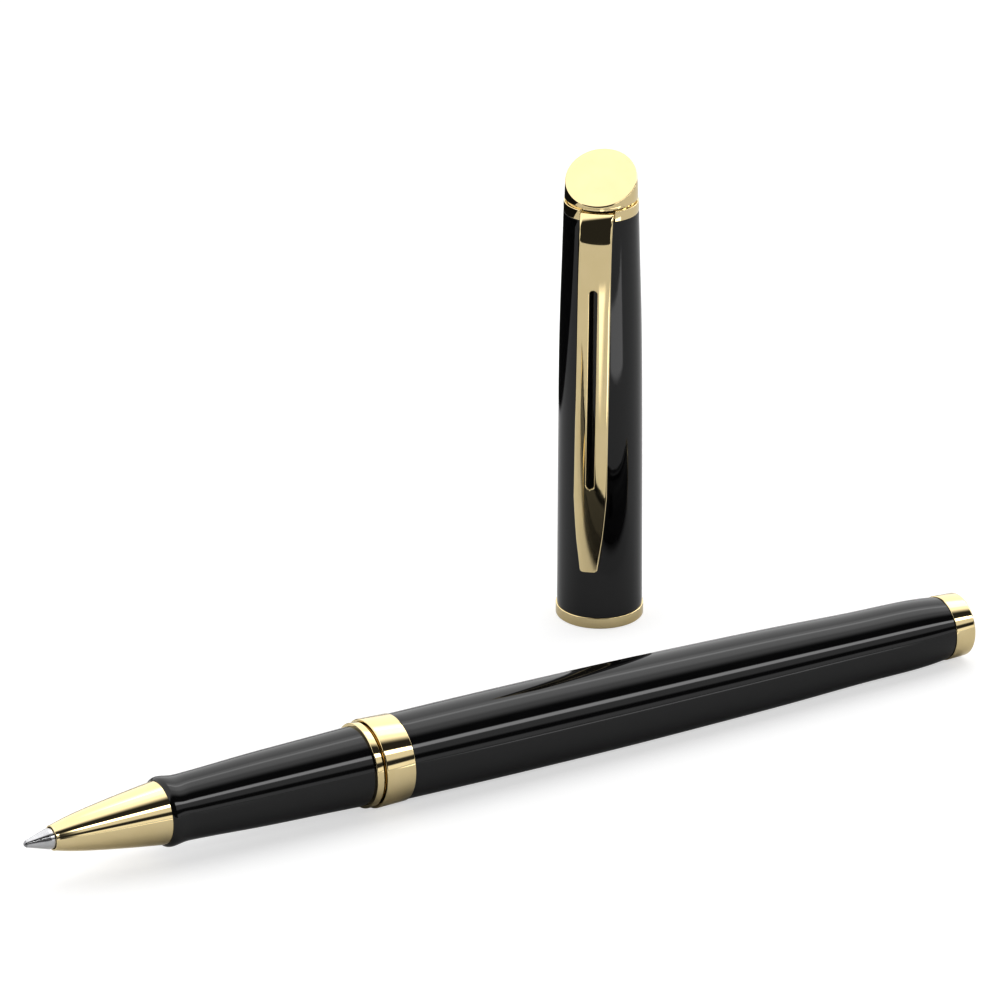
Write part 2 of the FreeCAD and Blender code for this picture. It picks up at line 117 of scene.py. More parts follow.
# The clip
CLIP_END_X = 8.4
CLIP_BEND_X = 47.5
CLIP_TOP_X = 52.0
CLIP_TAB_X = 50.98
CLIP_TAB_R = 3.35
CLIP_LEAN = 0.4
CLIP_LEAN_X = 31.0
CLIP_HALF_WIDTH = 1.95
CLIP_TIP_HALF_WIDTH = 1.07
CLIP_TIP_CORNER = 0.45
CLIP_EDGE = 0.2
CLIP_BACK_EDGE = 0.08
CLIP_CROWN_R = 6.0
CLIP_GAP = 0.1
CLIP_BEND_ROWS = 30
CLIP_TAB_ROWS = 4
SLOT_LOW_X = 18.85
SLOT_HIGH_X = 43.2
SLOT_HALF_WIDTH = 0.47
SLOT_EDGE = 0.1

# The camera
CAMERA_AZIMUTH = -30.115
CAMERA_ELEVATION = 23.669
CAMERA_ROLL = -0.115
CAMERA_DISTANCE = 730.0
CAMERA_AIM = (5.71, -3.78, 27.09)
CAMERA_LENS = 233.714

# The studio
FLOOR_SEEN = 0.34
FLOOR_GLOW = 0.665
FLOOR_REFLECTED = 0.68
CARD_HEIGHT = 1.0
AMBIENT = 0.06
BACKDROP = 1.3
GAMMA = 0.75


# Places

def joint(name):
    return next(j for j in frame["joints"] if j["name"] == name)


def axis_place(origin, along, out):
    """Turns (along, sideways, out) in millimetres from an axis into metres in the frame."""
    x = along.normalized()
    y = out.cross(x).normalized()
    z = x.cross(y)
    turn = Matrix((x, y, z)).transposed().to_4x4()
    return Matrix.Translation(origin) @ turn @ Matrix.Scale(MM, 4)


def pen_place():
    screw = joint("section_unscrew")
    along = -Vector(screw["axis"])
    band_rear = Vector(screw["pos_m"]) + along * SCREW_JOINT_TO_BAND * MM
    return axis_place(band_rear, along, Vector((0, 0, 1)))


def cap_place():
    low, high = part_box("cap_lip_ring")
    middle = (low + high) / 2
    up = Vector((0, 0, 1))
    out = up.cross(Vector(joint("clip_flex")["axis"]))
    return axis_place(Vector((middle.x, middle.y, low.z)), up, out)


PEN = pen_place()
CAP = cap_place()
PEN_ALONG = (PEN.to_3x3() @ Vector((1, 0, 0))).normalized()


# Outlines, as lists of (x, r) points. A third number is the radius that the corner is rounded to.

def spline(points, step=0.5):
    """A smooth line through the points, with its second derivative zero at its ends."""
    knots = np.array([p[:2] for p in points], float)
    gaps = np.hypot(*np.diff(knots, axis=0).T)
    count = len(knots)
    system = np.eye(count)
    right = np.zeros((count, 2))
    for i in range(1, count - 1):
        system[i, i - 1:i + 2] = gaps[i - 1], 2 * (gaps[i - 1] + gaps[i]), gaps[i]
        right[i] = 6 * ((knots[i + 1] - knots[i]) / gaps[i] - (knots[i] - knots[i - 1]) / gaps[i - 1])
    bend = np.linalg.solve(system, right)
    line = [tuple(points[0])]
    for i, gap in enumerate(gaps):
        pieces = max(2, math.ceil(gap / step))
        for k in range(1, pieces + 1):
            b = k / pieces
            a = 1 - b
            curve = (bend[i] * (a ** 3 - a) + bend[i + 1] * (b ** 3 - b)) * gap ** 2 / 6
            line.append(tuple(knots[i] * a + knots[i + 1] * b + curve))
    line[-1] = tuple(points[-1])
    return line


def corner(before, at, after, radius, pieces=5):
    """The arc that rounds the corner at a point."""
    here = np.array(at[:2])
    back = np.array(before[:2]) - here
    ahead = np.array(after[:2]) - here
    room = 0.48 * min(np.hypot(*back), np.hypot(*ahead))
    back /= np.hypot(*back)
    ahead /= np.hypot(*ahead)
    half = math.acos(float(np.clip(back @ ahead, -1, 1))) / 2
    reach = min(radius / math.tan(half), room)
    radius = reach * math.tan(half)
    inward = (back + ahead) / np.hypot(*(back + ahead))
    centre = here + inward * radius / math.sin(half)
    start = here + back * reach - centre
    end = here + ahead * reach - centre
    sweep = math.pi - 2 * half
    arc = []
    for k in range(pieces + 1):
        t = k / pieces
        spoke = (start * math.sin((1 - t) * sweep) + end * math.sin(t * sweep)) / math.sin(sweep)
        arc.append(tuple(centre + spoke))
    return arc


def outline(*items, closed=True):
    """Joins points and lines of points into one outline, and rounds the corners that give a radius."""
    raw = []
    for item in items:
        raw += item if isinstance(item, list) else [item]
    line = []
    for i, point in enumerate(raw):
        inside = closed or 0 < i < len(raw) - 1
        if len(point) == 3 and inside:
            line += corner(raw[i - 1], point, raw[(i + 1) % len(raw)], point[2])
        else:
            line.append(tuple(point[:2]))
    return line


# Meshes

def finish_mesh(name, bm, sharp_angle=32):
    """Makes the object, with smooth faces, sharp true edges and normals that follow the larger faces."""
    bmesh.ops.recalc_face_normals(bm, faces=bm.faces[:])
    for each in bm.faces:
        each.smooth = True
    mesh = bpy.data.meshes.new(name)
    bm.to_mesh(mesh)
    bm.free()
    mesh.set_sharp_from_angle(angle=math.radians(sharp_angle))
    piece = bpy.data.objects.new(name, mesh)
    bpy.context.scene.collection.objects.link(piece)
    weighted = piece.modifiers.new("weighted_normals", "WEIGHTED_NORMAL")
    weighted.keep_sharp = True
    return piece


def turned_bmesh(line, place, closed=True, steps=TURN_STEPS):
    """The outline turned about the axis. A point on the axis is one vertex."""
    bm = bmesh.new()
    rings = []
    for x, r in line:
        count = steps if r > 1e-6 else 1
        angles = [2 * math.pi * k / steps for k in range(count)]
        rings.append([bm.verts.new(place @ Vector((x, r * math.sin(a), r * math.cos(a)))) for a in angles])
    pairs = list(zip(rings, rings[1:]))
    if closed:
        pairs.append((rings[-1], rings[0]))
    for one, two in pairs:
        for k in range(steps):
            n = (k + 1) % steps
            if len(one) == 1:
                bm.faces.new((one[0], two[n], two[k]))
            elif len(two) == 1:
                bm.faces.new((one[k], one[n], two[0]))
            else:
                bm.faces.new((one[k], one[n], two[n], two[k]))
    return bm


def turned(name, line, place, closed=True):
    return finish_mesh(name, turned_bmesh(line, place, closed))


# Materials

def nodes_of(material):
    material.use_nodes = True
    return material.node_tree


def link(tree, source, target):
    tree.links.new(source, target)


def noise(tree, coordinates, scale, detail=4.0, stretch=None):
    """A noise value over the object's own metres."""
    texture = tree.nodes.new("ShaderNodeTexNoise")
    texture.inputs["Scale"].default_value = scale
    texture.inputs["Detail"].default_value = detail
    if stretch:
        mapping = tree.nodes.new("ShaderNodeMapping")
        mapping.inputs["Scale"].default_value = stretch
        link(tree, coordinates, mapping.inputs["Vector"])
        coordinates = mapping.outputs["Vector"]
    link(tree, coordinates, texture.inputs["Vector"])
    return texture.outputs["Fac"]


def ranged(tree, value, low, high):
    """The value's middle range spread from low to high."""
    spread = tree.nodes.new("ShaderNodeMapRange")
    spread.inputs["From Min"].default_value = 0.3
    spread.inputs["From Max"].default_value = 0.7
    spread.inputs["To Min"].default_value = low
    spread.inputs["To Max"].default_value = high
    link(tree, value, spread.inputs["Value"])
    return spread.outputs["Result"]


def two_tone(tree, value, dark, light):
    ramp = tree.nodes.new("ShaderNodeValToRGB")
    ramp.color_ramp.elements[0].position = 0.35
    ramp.color_ramp.elements[1].position = 0.65
    ramp.color_ramp.elements[0].color = (*dark, 1)
    ramp.color_ramp.elements[1].color = (*light, 1)
    link(tree, value, ramp.inputs["Fac"])
    return ramp.outputs["Color"]


def rings_along(tree, coordinates, direction, pitch):
    """A value that rises and falls along the axis, like the marks of a lathe tool."""
    along = tree.nodes.new("ShaderNodeVectorMath")
    along.operation = "DOT_PRODUCT"
    along.inputs[1].default_value = direction
    link(tree, coordinates, along.inputs[0])
    phase = tree.nodes.new("ShaderNodeMath")
    phase.operation = "MULTIPLY"
    phase.inputs[1].default_value = 2 * math.pi / pitch
    link(tree, along.outputs["Value"], phase.inputs[0])
    wave = tree.nodes.new("ShaderNodeMath")
    wave.operation = "SINE"
    link(tree, phase.outputs["Value"], wave.inputs[0])
    return wave.outputs["Value"]


def bump(tree, height, distance, strength=1.0):
    node = tree.nodes.new("ShaderNodeBump")
    node.inputs["Strength"].default_value = strength
    node.inputs["Distance"].default_value = distance
    link(tree, height, node.inputs["Height"])
    return node.outputs["Normal"]


def surface(name, dark, light, roughness, metallic=0.0, ior=1.5, grain=400.0, relief=0.0,
            relief_scale=3000.0, lathe=None, **sockets):
    """A material whose colour and roughness wander a little, with a fine relief."""
    material = bpy.data.materials.new(name)
    tree = nodes_of(material)
    shader = tree.nodes["Principled BSDF"]
    shader.inputs["Metallic"].default_value = metallic
    shader.inputs["IOR"].default_value = ior
    for socket, value in sockets.items():
        shader.inputs[socket.replace("_", " ")].default_value = value
    coordinates = tree.nodes.new("ShaderNodeTexCoord").outputs["Object"]
    cloud = noise(tree, coordinates, grain)
    link(tree, two_tone(tree, cloud, dark, light), shader.inputs["Base Color"])
    haze = noise(tree, coordinates, grain * 2.7, detail=6.0)
    link(tree, ranged(tree, haze, *roughness), shader.inputs["Roughness"])
    if lathe:
        direction, pitch, depth = lathe
        marks = rings_along(tree, coordinates, direction, pitch)
        link(tree, bump(tree, marks, depth), shader.inputs["Normal"])
    elif relief:
        ripple = noise(tree, coordinates, relief_scale, detail=2.0)
        link(tree, bump(tree, ripple, relief), shader.inputs["Normal"])
    return material


def make_materials():
    up = (0.0, 0.0, 1.0)
    along = tuple(PEN_ALONG)
    return {
        "black_lacquer": surface(
            "black_lacquer", (0.0032, 0.0032, 0.0036), (0.0046, 0.0046, 0.0052), (0.03, 0.055), ior=1.6,
            relief=0.0000012, relief_scale=900.0),
        "black_resin": surface(
            "black_resin", (0.0035, 0.0035, 0.0038), (0.005, 0.005, 0.0054), (0.04, 0.07), ior=1.6,
            relief=0.0000012, relief_scale=700.0),
        "gold_plate": surface(
            "gold_plate", (0.725, 0.615, 0.38), (0.74, 0.63, 0.397), (0.035, 0.07), metallic=1.0,
            relief=0.0000003, relief_scale=1600.0),
        "turned_brass": surface(
            "turned_brass", (0.60, 0.43, 0.18), (0.68, 0.50, 0.23), (0.18, 0.3), metallic=1.0,
            lathe=(along, 0.0002, 0.000003)),
        "cap_brass": surface(
            "cap_brass", (0.60, 0.43, 0.18), (0.68, 0.50, 0.23), (0.18, 0.3), metallic=1.0,
            lathe=(up, 0.0002, 0.000003)),
        "bright_steel": surface(
            "bright_steel", (0.50, 0.50, 0.51), (0.60, 0.60, 0.61), (0.14, 0.22), metallic=1.0,
            lathe=(along, 0.00006, 0.0000012)),
        "screw_steel": surface(
            "screw_steel", (0.50, 0.50, 0.51), (0.60, 0.60, 0.61), (0.2, 0.3), metallic=1.0,
            lathe=(up, 0.00012, 0.000002)),
        "carbide": surface(
            "carbide", (0.30, 0.30, 0.31), (0.38, 0.38, 0.40), (0.1, 0.2), metallic=1.0,
            relief=0.000001, relief_scale=9000.0),
        "liner_plastic": surface(
            "liner_plastic", (0.018, 0.018, 0.019), (0.028, 0.028, 0.029), (0.35, 0.5),
            relief=0.000004, relief_scale=6000.0),
        "refill_plastic": surface(
            "refill_plastic", (0.045, 0.047, 0.055), (0.06, 0.062, 0.072), (0.28, 0.42),
            relief=0.000003, relief_scale=4000.0),
        "ink_fibre": surface(
            "ink_fibre", (0.008, 0.008, 0.018), (0.02, 0.02, 0.04), (0.7, 0.9), grain=5000.0,
            relief=0.00002, relief_scale=12000.0),
    }


MATERIALS = make_materials()


def finished(piece, material, body, nodes=()):
    """Gives a piece its material, ties it to the body and hides the CAD nodes that it stands for."""
    piece.data.materials.clear()
    piece.data.materials.append(MATERIALS[material])
    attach(piece, body)
    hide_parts(*nodes)
    return piece


# The section

def section_grip():
    line = outline(
        spline([(SECTION_FRONT_X, SECTION_FRONT_R), (-29.3, 3.82), (-28.8, 3.93), (-28.2, 3.87),
                (-27.2, 3.73), (-26.0, 3.72), (-23.5, 3.82), (-18.0, 4.09), (-12.0, 4.28),
                (SECTION_REAR_X, SECTION_REAR_R, 0.05)], step=0.25),
        (SECTION_REAR_X, CORE_R),
        (CORE_FRONT_X, CORE_R),
        (CORE_FRONT_X, REFILL_BORE_R),
        (SPIGOT_X, REFILL_BORE_R),
        (SPIGOT_X, SPIGOT_R),
        (SECTION_FRONT_X, SPIGOT_R),
    )
    return finished(turned("section_resin", line, PEN), "black_resin", "section", nodes=["section_grip"])


def nose_cone():
    tip_bore = 1.25
    chamber = 1.9
    line = outline(
        (NOSE_X, tip_bore, 0.04),
        (NOSE_X, NOSE_LIP_R - 0.01, 0.13),
        spline([(NOSE_X + 0.16, NOSE_LIP_R), (-40.6, 1.85), (-38.5, 2.26), (-35.5, 2.74), (-32.5, 3.17),
                (SECTION_FRONT_X, 3.56)], step=0.3),
        (SECTION_FRONT_X, SPIGOT_R),
        (SPIGOT_X, SPIGOT_R),
        (SPIGOT_X, chamber),
        (-38.4, chamber),
        (-39.2, tip_bore),
    )
    return finished(turned("nose_gold", line, PEN), "gold_plate", "section", nodes=["nose_cone"])


def section_ring():
    line = outline(
        (SECTION_REAR_X, CORE_R),
        (SECTION_REAR_X, RING_R, 0.1),
        (RING_REAR_X, RING_R, 0.1),
        (RING_REAR_X, CORE_R),
    )
    return finished(turned("section_trim", line, PEN), "gold_plate", "section", nodes=["section_ring"])


# The barrel

def barrel():
    line = outline(
        (NECK_X, INSERT_R),
        (NECK_X, NECK_R),
        (0, NECK_R),
        spline([(0, 4.86, 0.05), (8, 4.92), (18, 4.935), (28, 4.89), (40, 4.71), (53, 4.41), (63, 4.11),
                (BARREL_REAR_X - 1, 3.8), (BARREL_REAR_X, 3.68)], step=1.0),
        (BARREL_REAR_X, PLUG_R),
        (PLUG_FRONT_X, PLUG_R),
        spline([(PLUG_FRONT_X, 3.56), (53, 3.9), (40, 4.2), (28, 4.36), (INSERT_REAR_X, INSERT_R)], step=3.0),
    )
    return finished(turned("barrel_lacquer", line, PEN), "black_lacquer", "barrel", nodes=["barrel_tube"])


def centre_band():
    line = outline(
        (BAND_FRONT_X, NECK_R),
        (BAND_FRONT_X, BAND_FRONT_R, 0.14),
        (0, BAND_REAR_R, 0.14),
        (0, NECK_R),
    )
    return finished(turned("band_gold", line, PEN), "gold_plate", "barrel", nodes=["center_band"])


def tail_ring():
    front = BARREL_REAR_X + 0.05
    stud_r = 1.2
    stud_end_x = 74.0
    line = outline(
        (stud_end_x, 0),
        (stud_end_x, stud_r),
        (front, stud_r),
        (front, TAIL_RING_R, 0.1),
        (TAIL_X, TAIL_END_R, 0.32),
        (TAIL_X, 0),
        closed=False,
    )
    return finished(turned("tail_gold", line, PEN, closed=False), "gold_plate", "barrel", nodes=["tail_ring"])


# The writing point

def point():
    """The steel cone that holds the ball. Its rim is rolled in over the ball."""
    rim_x = BALL_X - 0.1
    socket_r = BALL_R + 0.01
    throat_r = 0.15
    feed_x = -43.4
    socket = [
        (BALL_X + socket_r * math.sin(a), socket_r * math.cos(a))
        for a in np.linspace(-0.05, math.acos(throat_r / socket_r), 12)
    ]
    line = outline(
        (rim_x, BALL_R - 0.005),
        (rim_x, BALL_R + 0.04, 0.02),
        (rim_x + 0.45, BALL_R + 0.16, 0.3),
        (-43.06, TIP_R - 0.03, 0.1),
        (-42.95, TIP_R, 0.05),
        (TIP_REAR_X, TIP_R),
        (TIP_REAR_X, FEED_R),
        (feed_x, FEED_R),
        (feed_x, throat_r),
        socket[::-1],
    )
    return finished(turned("point_steel", line, PEN), "bright_steel", "refill", nodes=["refill_tip"])


def ball():
    arc = [(BALL_X - BALL_R * math.cos(a), BALL_R * math.sin(a)) for a in np.linspace(0, math.pi, 49)]
    arc[0] = (BALL_X - BALL_R, 0)
    arc[-1] = (BALL_X + BALL_R, 0)
    piece = turned("ball_carbide", arc, PEN, closed=False)
    return finished(piece, "carbide", "refill", nodes=["refill_ball"])


# The cap

def cap_tube():
    line = outline(
        spline([(LIP_HEIGHT, 5.03, 0.04), (10, 4.99), (20, 4.94), (30, 4.86), (38, 4.73), (45, 4.52),
                (CAP_TOP_X, CAP_TOP_R, 0.05)], step=1.0),
        (CAP_TOP_X, CAP_NECK_R),
        (CAP_NECK_X, CAP_NECK_R),
        (CAP_NECK_X, CAP_BORE_R),
        (SLEEVE_X, CAP_BORE_R),
        (SLEEVE_X, SLEEVE_R),
        (LIP_HEIGHT, SLEEVE_R),
    )
    return finished(turned("cap_lacquer", line, CAP), "black_lacquer", "cap", nodes=["cap_tube"])


def cap_lip_ring():
    line = outline(
        (0, LIP_BORE_R, 0.05),
        (0, LIP_R, 0.14),
        (LIP_HEIGHT, LIP_R, 0.1),
        (LIP_HEIGHT, SLEEVE_R),
        (SLEEVE_X, SLEEVE_R),
        (SLEEVE_X, CAP_BORE_R, 0.05),
        (LIP_STEP_X, CAP_BORE_R),
        (LIP_STEP_X, LIP_BORE_R),
    )
    return finished(turned("cap_lip_gold", line, CAP), "gold_plate", "cap", nodes=["cap_lip_ring"])


def cut_by(piece, cutter):
    """Cuts one mesh with another, and keeps only the result."""
    cut = piece.modifiers.new("cut", "BOOLEAN")
    cut.operation = "DIFFERENCE"
    cut.solver = "EXACT"
    cut.object = cutter
    while piece.modifiers[0] != cut:
        piece.modifiers.move(len(piece.modifiers) - 1, 0)
    depsgraph = bpy.context.evaluated_depsgraph_get()
    bm = bmesh.new()
    bm.from_object(piece, depsgraph)
    name = piece.name
    bpy.data.objects.remove(piece)
    bpy.data.objects.remove(cutter)
    return finish_mesh(name, bm)


def block(place, low, high):
    """A mesh box between two corners, to cut with."""
    bm = bmesh.new()
    bmesh.ops.create_cube(bm, size=1)
    middle = (Vector(low) + Vector(high)) / 2
    size = Vector(high) - Vector(low)
    for vertex in bm.verts:
        vertex.co = place @ (middle + Vector(a * b for a, b in zip(vertex.co, size)))
    return finish_mesh("block", bm)


def clip_ring():
    notch_half = CLIP_HALF_WIDTH + CLIP_GAP
    line = outline(
        (CAP_TOP_X, CROWN_BOSS_R),
        (CAP_TOP_X, CAP_TOP_R + 0.005, 0.08),
        (CLIP_RING_X, CAP_TOP_R - 0.02, 0.1),
        (CLIP_RING_X, CROWN_BOSS_R),
    )
    shift = -(CLIP_TAB_X - CLIP_LEAN_X) * math.sin(math.radians(CLIP_LEAN))
    low = (CAP_TOP_X - 1, shift - notch_half, CLIP_TAB_R - CLIP_GAP)
    high = (CLIP_RING_X + 1, shift + notch_half, LIP_R + 2)
    notch = block(CAP, low, high)
    ring = cut_by(turned("clip_ring_gold", line, CAP), notch)
    return finished(ring, "gold_plate", "cap", nodes=["clip_ring"])


def crown():
    """The crown's top is a flat ellipse that falls towards the clip."""
    line = outline(
        (SCREW_X, 0),
        (SCREW_X, SCREW_R),
        (CAP_TOP_X, SCREW_R),
        (CAP_TOP_X, CROWN_BOSS_R),
        (CLIP_RING_X, CROWN_BOSS_R),
        (CLIP_RING_X, CROWN_NECK_R),
        (CROWN_FOOT_X, CROWN_NECK_R),
        (CROWN_FOOT_X, CROWN_R, 0.07),
        (CROWN_BACK_X + 0.5, CROWN_TOP_R),
        (CROWN_BACK_X + 0.5, 0),
        closed=False,
    )
    bm = turned_bmesh(line, CAP, closed=False)
    slope = math.atan2(CROWN_BACK_X - CROWN_FRONT_X, 2 * CROWN_TOP_R + 0.15)
    middle = Vector(((CROWN_BACK_X + CROWN_FRONT_X) / 2, 0, 0))
    normal = Vector((math.cos(slope), 0, math.sin(slope)))
    everything = bm.verts[:] + bm.edges[:] + bm.faces[:]
    facing = (CAP.to_3x3() @ normal).normalized()
    cut = bmesh.ops.bisect_plane(
        bm, geom=everything, plane_co=CAP @ middle, plane_no=facing, clear_outer=True)
    rim = [item for item in cut["geom_cut"] if isinstance(item, bmesh.types.BMEdge)]
    bmesh.ops.contextual_create(bm, geom=rim)
    bmesh.ops.recalc_face_normals(bm, faces=bm.faces[:])
    bmesh.ops.bevel(bm, geom=rim, offset=CROWN_EDGE * MM, segments=4, profile=0.5, affect="EDGES")
    return finished(finish_mesh("crown_gold", bm), "gold_plate", "cap", nodes=["crown"])


# The clip

OUTER_SIDE = spline([(CLIP_END_X, 7.91), (12.5, 7.74), (16.3, 7.56), (24.2, 7.17), (31.7, 6.82),
                     (39.3, 6.56), (45.5, 6.28), (47.5, 6.1), (49.1, 5.85), (50.1, 5.58),
                     (51.1, 5.2), (51.7, 4.72), (51.93, 4.35), (CLIP_TOP_X, 4.0)], step=0.1)
INNER_SIDE = spline([(CLIP_END_X, 7.0), (8.55, 6.1), (9.0, 5.38), (9.6, 5.13), (10.2, 5.38),
                     (11.0, 6.1), (12.0, 6.72), (13.5, 6.96), (16.3, 6.92), (24.2, 6.55),
                     (31.7, 6.2), (39.3, 5.94), (45.5, 5.62), (47.5, 5.45), (49.1, 5.2),
                     (50.1, 4.93), (50.75, 4.68), (CLIP_TAB_X, 4.35)], step=0.1)


def arc_lengths(line):
    steps = np.hypot(*np.diff(np.array(line), axis=0).T)
    return np.concatenate([[0], np.cumsum(steps)])


def along_line(line, lengths, distance, reach=0.15):
    """The point and the outward normal at a distance along a line."""
    points = np.array(line)

    def spot(at):
        return np.array([np.interp(at, lengths, points[:, k]) for k in (0, 1)])

    run = spot(distance + reach) - spot(distance - reach)
    run /= np.hypot(*run)
    return spot(distance), np.array([-run[1], run[0]])


def quarter(radius, pieces=4):
    """(distance from the edge, depth below the face) along a rounded edge, from the wall to the face."""
    angles = [math.pi / 2 * k / pieces for k in range(pieces + 1)]
    return [(radius * (1 - math.cos(a)), radius * (1 - math.sin(a))) for a in angles]


def round_depth(distance, radius):
    if distance >= radius:
        return 0.0
    return radius - math.sqrt(max(radius ** 2 - (radius - max(distance, 0.0)) ** 2, 0.0))


def clip_half_width(x):
    """Half the clip's width at a height, with the rounded corners of its tip."""
    widths = [(CLIP_END_X, CLIP_TIP_HALF_WIDTH), (CLIP_END_X + CLIP_TIP_CORNER, CLIP_TIP_HALF_WIDTH),
              (10.5, 1.28), (12.5, 1.55), (14.4, 1.72), (16.4, 1.87), (17.6, CLIP_HALF_WIDTH),
              (60.0, CLIP_HALF_WIDTH)]
    width = float(np.interp(x, *zip(*widths)))
    into = CLIP_TIP_CORNER - (x - CLIP_END_X)
    if into > 0:
        width -= CLIP_TIP_CORNER - math.sqrt(max(CLIP_TIP_CORNER ** 2 - into ** 2, 0.0))
    return width


def past_slot(x):
    """How far a height is past the centre of the nearer rounded end of the slot."""
    low = SLOT_LOW_X + SLOT_HALF_WIDTH
    high = SLOT_HIGH_X - SLOT_HALF_WIDTH
    return max(low - x, x - high, 0.0)


def slot_half_width(x, beyond=0.0):
    """Half the slot's width at a height, with its outline moved outward. It is 0 past the ends."""
    return math.sqrt(max((SLOT_HALF_WIDTH + beyond) ** 2 - past_slot(x) ** 2, 0.0))


def slot_distance(x, side):
    return math.hypot(past_slot(x), side) - SLOT_HALF_WIDTH


def edge_distance(x, side):
    """The distance from a point on the clip's face to its outer edge."""
    into_corner = CLIP_END_X + CLIP_TIP_CORNER - x
    past_corner = abs(side) - (CLIP_TIP_HALF_WIDTH - CLIP_TIP_CORNER)
    if into_corner > 0 and past_corner > 0:
        return CLIP_TIP_CORNER - math.hypot(into_corner, past_corner)
    return min(clip_half_width(x) - abs(side), x - CLIP_END_X)


def clip_columns(x, edge, slot_edge):
    """Sideways places of the columns on one half of a face, from the slot to the outer edge."""
    from_slot = [slot_half_width(x, d) for d, _ in quarter(slot_edge)]
    to_edge = [clip_half_width(x) - d for d, _ in reversed(quarter(edge))]
    between = 9
    inner = [from_slot[-1] + (to_edge[0] - from_slot[-1]) * k / between for k in range(1, between)]
    return from_slot + inner + to_edge


def clip_heights():
    """Heights of the rows on the leaf, close together at the tip and at the slot's ends."""
    heights = [CLIP_END_X + d for d, _ in quarter(CLIP_EDGE)]
    heights += [CLIP_END_X + CLIP_TIP_CORNER * (1 - math.cos(math.pi / 2 * k / 6)) for k in range(7)]
    for middle, way in ((SLOT_LOW_X + SLOT_HALF_WIDTH, -1), (SLOT_HIGH_X - SLOT_HALF_WIDTH, 1)):
        heights += [middle + way * (SLOT_HALF_WIDTH + d) for d, _ in quarter(SLOT_EDGE)]
        heights += [middle + way * SLOT_HALF_WIDTH * math.sin(math.pi / 2 * k / 8) for k in range(8)]
    heights += list(np.arange(CLIP_END_X + 0.8, CLIP_BEND_X + 0.01, 0.4))
    apart = 0.012
    rows = []
    for height in sorted(heights):
        if not rows or height - rows[-1] > apart:
            rows.append(height)
    return rows


def side_points(line, heights):
    """The point and normal on one side of the clip for each row, from its tip to the tab's end."""
    lengths = arc_lengths(line)
    along = np.array(line)[:, 0]
    start = np.interp(CLIP_BEND_X, along, lengths)
    distances = list(np.interp(heights, along, lengths))
    distances += list(np.linspace(start, lengths[-1], CLIP_BEND_ROWS + 1)[1:])
    points = [along_line(line, lengths, distance) for distance in distances]
    tab_x, tab_r = line[-1]
    for r in np.linspace(tab_r, CLIP_TAB_R, CLIP_TAB_ROWS + 1)[1:]:
        points.append((np.array([tab_x, r]), np.array([1.0, 0.0])))
    return points


def clip_rows():
    """For each row: the height for its width, and the point and normal of the outer and inner side."""
    heights = clip_heights()
    outer = side_points(OUTER_SIDE, heights)
    inner = side_points(INNER_SIDE, heights)
    heights += [point[0] for point, _ in outer[len(heights):]]
    return list(zip(heights, outer, inner))


def leaned(spot):
    """The clip leans a little to one side about its middle."""
    lean = math.radians(CLIP_LEAN)
    from_pivot = spot.x - CLIP_LEAN_X
    return Vector((
        CLIP_LEAN_X + from_pivot * math.cos(lean) + spot.y * math.sin(lean),
        spot.y * math.cos(lean) - from_pivot * math.sin(lean),
        spot.z))


def clip_point(side_point, way, x, side, edge, slot_edge):
    """A vertex on the outer side (way 1) or the inner side (way -1), set below the face by its
    rounded edges. The outer side is also crowned, more on the leaf than on the tab."""
    (along, out), normal = side_point
    outer_edge = round_depth(edge_distance(x, side), edge)
    depth = max(outer_edge, round_depth(slot_distance(x, side), slot_edge))
    if way > 0:
        crowned = float(np.interp(out, [4.2, 5.6], [0.25, 1.0]))
        depth += crowned * (CLIP_CROWN_R - math.sqrt(CLIP_CROWN_R ** 2 - side ** 2))
    return CAP @ leaned(Vector((along - way * depth * normal[0], side, out - way * depth * normal[1])))


def clip_loop(row, hand):
    """The points round one half of a row: over the outer side and back along the inner side."""
    x, outer, inner = row
    front = [clip_point(outer, 1, x, hand * side, CLIP_EDGE, SLOT_EDGE)
             for side in clip_columns(x, CLIP_EDGE, SLOT_EDGE)]
    back = [clip_point(inner, -1, x, hand * side, CLIP_BACK_EDGE, CLIP_BACK_EDGE)
            for side in clip_columns(x, CLIP_BACK_EDGE, CLIP_BACK_EDGE)]
    return front + back[::-1]


def clip():
    """A springy leaf with a slot, bent at the top into a tab. It is built as rows across it."""
    bm = bmesh.new()
    rows = clip_rows()
    apart = 0.0008 * MM
    for hand in (1, -1):
        loops = [[bm.verts.new(point) for point in clip_loop(row, hand)] for row in rows]
        for (x, *_), (next_x, *_), one, two in zip(rows, rows[1:], loops, loops[1:]):
            slotted = slot_half_width(x) > 0 or slot_half_width(next_x) > 0
            count = len(one)
            for k in range(count if slotted else count - 1):
                n = (k + 1) % count
                bm.faces.new((one[k], one[n], two[n], two[k]))
    bmesh.ops.remove_doubles(bm, verts=bm.verts[:], dist=apart)
    bmesh.ops.dissolve_degenerate(bm, edges=bm.edges[:], dist=apart)
    open_edges = [edge for edge in bm.edges if len(edge.link_faces) == 1]
    bmesh.ops.holes_fill(bm, edges=open_edges, sides=0)
    return finished(finish_mesh("clip_gold", bm, sharp_angle=40), "gold_plate", "clip", nodes=["clip"])


# The pieces inside, whose CAD shapes are right

def dress_inner_nodes():
    inner = {
        "turned_brass": ["barrel_insert", "section_core"],
        "cap_brass": ["cap_bushing"],
        "bright_steel": ["refill_spring"],
        "screw_steel": ["crown_screw"],
        "liner_plastic": ["cap_liner", "tail_plug"],
        "refill_plastic": ["refill_tube", "refill_nose", "refill_plug"],
        "ink_fibre": ["refill_reservoir", "refill_feed"],
    }
    for material, names in inner.items():
        for name in names:
            mesh = frame["nodes"][name].data
            mesh.materials.clear()
            mesh.materials.append(MATERIALS[material])


# The studio

